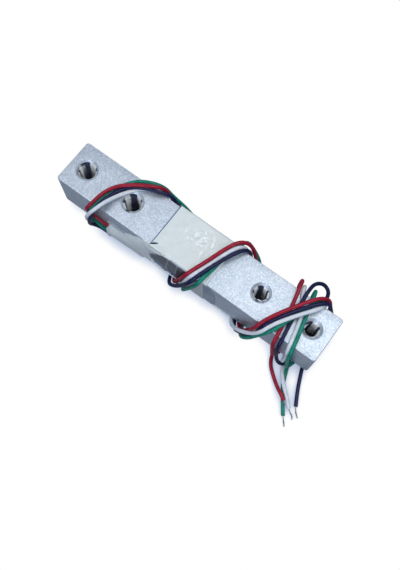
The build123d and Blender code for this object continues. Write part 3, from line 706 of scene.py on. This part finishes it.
def make_strip(name, stations, material):
    start = stations[0][0]
    length = stations[-1][0] - start
    vertices = []
    faces = []
    ring = strip_rows + 3
    for column in range(strip_columns + 1):
        share = column / strip_columns
        x = start + length * share
        top, foot, bulge = strip_at(stations, x)
        end = min(1.0, start_share + share * start_growth)
        for row in range(strip_rows + 1):
            down = row / strip_rows
            z = top + (foot - top) * down
            rough = strip_roughness * uneven(Vector((x * strip_scale, z * strip_scale, 1.3)), 0.9, 2.1)
            lean = start_lean * z * max(0.0, 1 - (x - front_start) / start_lean_length)
            out = strip_gap + (bulge + rough) * strip_swell(x, down) * end
            vertices.append((x + lean, -bar_side - out, z))
        vertices.append((x + lean, -bar_side + strip_sunk, foot))
        vertices.append((x + lean, -bar_side + strip_sunk, top))
        if column:
            here = column * ring
            before = here - ring
            for corner in range(ring):
                after = (corner + 1) % ring
                faces.append((here + corner, here + after, before + after, before + corner))
    faces.append(tuple(range(ring)))
    faces.append(tuple(strip_columns * ring + ring - 1 - corner for corner in range(ring)))
    strip = mesh_object(name, vertices, faces, material, strip_sharp_angle)
    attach(strip, "root")


for name, stations in front_strips.items():
    make_strip(name, stations, thin_silicone if name == "poured_end" else flange_silicone)


# The clear film, folded over the cover and down both sides

film_bottom = 0.00235
film_out = 0.00672
film_top = 0.01612
film_corner = 0.0006
film_right = 0.0073
film_thickness = 0.00012
film_columns = 110
film_rows = 60
film_corner_rows = 8
top_margin = 0.0001
# The left edge slants between these two heights, from its low place to its top place
film_left_top = -0.0094
film_left_low = -0.0130
film_slant_from = 0.0108
film_slant_to = film_bottom + 0.0135
# The window's outline, as (x, z): there the film is clear, the bar shows dark behind it, and a painted
# shade tints the film dark blue
window = [(-0.0100, 0.0086), (-0.0097, 0.0073), (-0.0095, 0.0052), (-0.0091, 0.0038), (-0.0081, 0.0028),
          (-0.0072, 0.0024), (-0.0060, 0.0026), (-0.0050, 0.0027), (-0.0039, 0.0034), (0.0022, 0.0038),
          (0.0036, 0.0080), (0.0058, 0.0152), (0.0021, 0.0152), (0.0, 0.0151), (-0.0032, 0.0152),
          (-0.0050, 0.0149), (-0.0065, 0.0136), (-0.0081, 0.0116), (-0.0098, 0.0091)]
window_ripple = 0.00010
window_creases = (-0.0045, -0.0015)
crease_lean = 0.15
crease_middle = 0.008
crease_height = 0.00012
crease_width = 0.00022
film_wave = 0.00006
# The wrinkles on top: their height, their middle and their reach along X and Y
wrinkle_height = 0.00024
wrinkle_middle = (0.0006, 0.0018)
wrinkle_reach = (0.0050, 0.0024)
# The roll along the top's front edge, which fades out to the right
roll_height = 0.00020
roll_radius = 0.0006
roll_inset = 0.0002
roll_end = -0.0040
roll_fade = 0.0015
# The painted shadow of a small gap at the top's front left corner, an ellipse that lies aslant: the film
# stays flat there and its colour turns nearly black
gap_shadow_middle = (-0.00875, -0.00573)
gap_shadow_reach = (0.0011, 0.00022)
gap_shadow_slant = (0.8, 0.6)
# A painted shadow line this wide along the film's left edge on top, clear with a dark tint
left_edge_shadow_width = 0.0002
# Milkiness and painted shade of each part of the film
painted_gap_shadow = (0.0, 1.0)
painted_left_edge_shadow = (0.0, 0.6)
top_finish = (0.97, 0.0)
# The front of the film has a slight painted shade
front_milk_and_painted_shade = (0.90, 0.12)
# The window's dark blue is partly the bar seen through the clear film and partly this painted shade
window_shade = 0.5
window_milk = 0.24
window_edge_milk = 0.4
window_edge_width = 0.00025
window_crease_milk = 0.45
window_crease_width = 0.00018
window_most_milk = 0.95


def window_depth(x, z):
    """How far (x, z) lies inside the window's outline; negative outside."""
    inside = False
    nearest = 1.0
    for (ax, az), (bx, bz) in zip(window, window[1:] + window[:1]):
        if (az > z) != (bz > z) and x < (bx - ax) * (z - az) / (bz - az) + ax:
            inside = not inside
        dx, dz = bx - ax, bz - az
        share = max(0.0, min(1.0, ((x - ax) * dx + (z - az) * dz) / (dx * dx + dz * dz)))
        nearest = min(nearest, math.hypot(x - ax - share * dx, z - az - share * dz))
    return nearest if inside else -nearest


def film_section():
    """The film's path from the front's foot to the back's, as (y, z, outward y, outward z)."""
    front = []
    rise = film_top - film_corner - film_bottom
    for step in range(film_rows):
        front.append((-film_out, film_bottom + rise * step / film_rows, -1.0, 0.0))
    for step in range(film_corner_rows + 1):
        angle = math.pi / 2 * step / film_corner_rows
        out_y, out_z = -math.cos(angle), math.sin(angle)
        y = -film_out + film_corner * (1 + out_y)
        z = film_top - film_corner * (1 - out_z)
        front.append((y, z, out_y, out_z))
    width = 2 * (film_out - film_corner)
    top = [(-film_out + film_corner + width * step / film_rows, film_top, 0.0, 1.0)
           for step in range(1, film_rows)]
    back = [(-y, z, -out_y, out_z) for y, z, out_y, out_z in reversed(front)]
    return front + top + back


def film_left(y, z):
    """The place of the film's left edge."""
    if y > -film_out + film_corner or z > film_slant_to:
        return film_left_top
    if z > film_slant_from:
        share = (z - film_slant_from) / (film_slant_to - film_slant_from)
        return film_left_low + share * (film_left_top - film_left_low)
    return film_left_low


def on_front(y):
    return y < -film_out + film_corner / 2


def on_top(z):
    return z > film_top - top_margin


def creased(x, z, width):
    """How near (x, z) is to the window's creases, which are this wide: 1 on a crease."""
    shift = crease_lean * (z - crease_middle)
    return sum(math.exp(-((x - crease - shift) / width) ** 2) for crease in window_creases)


def film_lift(row, x, y, z, depth):
    """How far the film stands out from its plain section: its waves, wrinkles, roll and creases."""
    lift = film_wave * uneven(Vector((x * 300, row * 0.05, 3.7)), 1.0, 2.0)
    if on_top(z):
        spread = sum(((place - middle) / reach) ** 2
                     for place, middle, reach in zip((x, y), wrinkle_middle, wrinkle_reach))
        lift += wrinkle_height * math.exp(-spread) * uneven(Vector((x * 700, y * 1200, 8.1)), 0.9, 2.0)
    corner = math.hypot(y + film_out - roll_inset, z - film_top + roll_inset)
    along = max(0.0, min(1.0, (roll_end - x) / roll_fade))
    lift += roll_height * along * math.exp(-(corner / roll_radius) ** 2)
    if depth > 0:
        lift += window_ripple * noise.noise(Vector((x * 900, z * 420, 0.5)))
        lift += crease_height * creased(x, z, crease_width)
    return lift


def in_painted_gap_shadow(x, y):
    dx, dy = x - gap_shadow_middle[0], y - gap_shadow_middle[1]
    along = gap_shadow_slant[0] * dx + gap_shadow_slant[1] * dy
    across = gap_shadow_slant[0] * dy - gap_shadow_slant[1] * dx
    return (along / gap_shadow_reach[0]) ** 2 + (across / gap_shadow_reach[1]) ** 2 < 1


def film_milk_and_painted_shade(x, y, z, depth):
    """The film's milkiness and painted shade at a point."""
    if depth > 0:
        milk = window_milk + window_edge_milk * math.exp(-depth / window_edge_width)
        milk += window_crease_milk * creased(x, z, window_crease_width)
        return min(window_most_milk, milk), window_shade
    if on_front(y):
        return front_milk_and_painted_shade
    # Painted shadows: nearly black in the gap and dark along the left edge
    if on_top(z) and in_painted_gap_shadow(x, y):
        return painted_gap_shadow
    if on_top(z) and x < film_left_top + left_edge_shadow_width:
        return painted_left_edge_shadow
    return top_finish


def make_film():
    vertices = []
    faces = []
    milk_and_painted_shades = []
    for row, (y, z, out_y, out_z) in enumerate(film_section()):
        left = film_left(y, z)
        for column in range(film_columns + 1):
            x = left + (film_right - left) * column / film_columns
            depth = window_depth(x, z) if on_front(y) else -1.0
            lift = film_lift(row, x, y, z, depth)
            vertices.append((x, y + out_y * lift, z + out_z * lift))
            milk_and_painted_shades.append(film_milk_and_painted_shade(x, y, z, depth))
            if row and column:
                here = row * (film_columns + 1) + column
                before = here - film_columns - 1
                faces.append((before - 1, before, here, here - 1))
    wrap = mesh_object("film_folded", vertices, faces, film)
    for attribute_name, values in zip(("milkiness", "shade"), zip(*milk_and_painted_shades)):
        attribute = wrap.data.attributes.new(attribute_name, "FLOAT", "POINT")
        attribute.data.foreach_set("value", values)
    thick = wrap.modifiers.new("thick", "SOLIDIFY")
    thick.thickness = film_thickness
    thick.offset = -1
    wrap.data.shade_smooth()
    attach(wrap, "root")
    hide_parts("film_wrap")


make_film()


# Finishes of the sealed pieces, which stay as the CAD made them

inner_looks = {
    "carrier_film": plain_inner("carrier_film", (0.50, 0.25, 0.05), (0.62, 0.34, 0.09), 0.0, 0.35),
    "terminal_board": plain_inner("terminal_board", (0.42, 0.28, 0.10), (0.52, 0.38, 0.15), 0.0, 0.5),
    "gauge_foil": plain_inner("gauge_foil", (0.50, 0.42, 0.30), (0.66, 0.57, 0.42), 1.0, 0.35),
    "solder": plain_inner("solder", (0.45, 0.45, 0.47), (0.70, 0.70, 0.72), 1.0, 0.30),
    "fine_wire": plain_inner("fine_wire", (0.50, 0.20, 0.08), (0.66, 0.30, 0.14), 0.8, 0.30),
}
for part in frame["record"]["subparts"]:
    material = inner_looks.get(part["material_slot"])
    if material:
        for place in frame["nodes"][part["node"]].material_slots:
            place.material = material


# The leads and their bare ends

strand_count = 4
strand_radius = 0.00006
# The strands' distance from the middle where they leave the lead, and how much it may grow at each point
strand_spread = 0.00007
strand_opening = 0.00005
strand_turn = 0.9
# Across the tails, which lie aslant, in X and Y
strand_aside = (0.6, 0.8)
lowest_strand = 0.00009


def spline_curve(name, points, radius, material):
    curve = bpy.data.curves.new(name, "CURVE")
    curve.dimensions = "3D"
    curve.resolution_u = 10
    curve.bevel_depth = radius
    curve.bevel_resolution = 5
    curve.use_fill_caps = True
    line = curve.splines.new("NURBS")
    line.points.add(len(points) - 1)
    for point, place in zip(line.points, points):
        point.co = (*place, 1.0)
    line.order_u = 3
    line.use_endpoint_u = True
    curve.materials.append(material)
    return link(bpy.data.objects.new(name, curve))


def make_strands(colour, points):
    """The lead's fine strands, twisted together where they leave it and a little apart at the tip."""
    strands = []
    chance = random.Random(len(points) + len(colour))
    for number in range(strand_count):
        phase = 2 * math.pi * number / strand_count
        route = []
        for index, (x, y, z) in enumerate(points):
            spread = strand_spread + strand_opening * index * chance.uniform(0.2, 1.0)
            angle = phase + strand_turn * index
            aside = spread * math.cos(angle)
            height = max(z + spread * math.sin(angle), lowest_strand)
            route.append((x + strand_aside[0] * aside, y + strand_aside[1] * aside, height))
        strand = spline_curve(f"strand_{colour}_{number + 1}", route, strand_radius, wire_metal)
        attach(strand, "root")
        strands.append(strand)
    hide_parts(f"bare_end_{colour}")
    return strands


for colour, points in lead_points.items():
    lead = spline_curve(f"lead_{colour}_soft", points, lead_radius, lead_looks[colour])
    strands = make_strands(colour, bare_end_points[colour])
    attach(lead, "root")
    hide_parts(f"lead_{colour}")


# Camera, lamps, floor and surroundings

camera_place = (0.03581, -0.04586, 0.17281)
camera_target = (0.00571, -0.00576, 0.00915)
floor_reach = 0.6
floor_height = -0.0001


def aim(obj, place, target):
    obj.location = place
    obj.rotation_euler = (Vector(target) - Vector(place)).to_track_quat("-Z", "Y").to_euler()
    return obj


def make_camera():
    camera = bpy.data.cameras.new("camera")
    camera.lens = 42.53
    camera.sensor_width = 36.0
    camera.sensor_fit = "AUTO"
    camera.clip_start = 0.005
    camera.clip_end = 5.0
    view = link(bpy.data.objects.new("camera", camera))
    bpy.context.scene.camera = aim(view, camera_place, camera_target)


def lamp(name, place, target, size, power, colour):
    light = bpy.data.lights.new(name, "AREA")
    light.shape = "DISK"
    light.size = size
    light.energy = power
    light.color = colour
    aim(link(bpy.data.objects.new(name, light)), place, target)


def make_floor():
    corners = [(x * floor_reach, y * floor_reach, floor_height)
               for x, y in ((-1, -1), (1, -1), (1, 1), (-1, 1))]
    floor = mesh_object("floor", corners, [(0, 1, 2, 3)], pale_floor())


def make_surroundings():
    """White to the camera, and to all other rays a soft sky that is palest overhead."""
    world = bpy.data.worlds.new("surroundings")
    world.use_nodes = True
    nodes = world.node_tree.nodes
    join = world.node_tree.links.new
    split = nodes.new("ShaderNodeSeparateXYZ")
    join(nodes.new("ShaderNodeTexCoord").outputs["Generated"], split.inputs["Vector"])
    height = nodes.new("ShaderNodeMapRange")
    height.inputs["From Min"].default_value = -1.0
    height.inputs["From Max"].default_value = 1.0
    join(split.outputs["Z"], height.inputs["Value"])
    tones = nodes.new("ShaderNodeValToRGB")
    fill_ramp(tones, ((0.0, (0.18, 0.20, 0.24)), (0.42, (0.08, 0.11, 0.17)), (0.52, (0.13, 0.17, 0.24)),
                      (0.65, (0.22, 0.26, 0.33)), (1.0, (0.60, 0.65, 0.72))))
    join(height.outputs["Result"], tones.inputs["Fac"])
    sky = nodes["Background"]
    sky.inputs["Strength"].default_value = 1.0
    join(tones.outputs["Color"], sky.inputs["Color"])
    white = nodes.new("ShaderNodeBackground")
    white.inputs["Color"].default_value = (1, 1, 1, 1)
    white.inputs["Strength"].default_value = 1.0
    whole = nodes.new("ShaderNodeMixShader")
    join(nodes.new("ShaderNodeLightPath").outputs["Is Camera Ray"], whole.inputs["Fac"])
    join(sky.outputs["Background"], whole.inputs[1])
    join(white.outputs["Background"], whole.inputs[2])
    join(whole.outputs["Shader"], nodes["World Output"].inputs["Surface"])
    bpy.context.scene.world = world


make_camera()
lamp("overhead", (0.10, 0.12, 0.42), (0, 0, 0.01), 0.30, 0.46, (0.95, 0.98, 1.0))
lamp("left_glint", (-0.16, -0.12, 0.40), (0, 0, 0.01), 0.10, 0.18, (0.98, 0.99, 1.0))
lamp("front_glow", (0.05, -0.35, 0.12), (0.02, 0, 0.01), 0.16, 0.30, (0.80, 0.88, 1.0))
make_floor()
make_surroundings()
bpy.context.scene.view_settings.view_transform = "Standard"

bpy.context.view_layer.update()
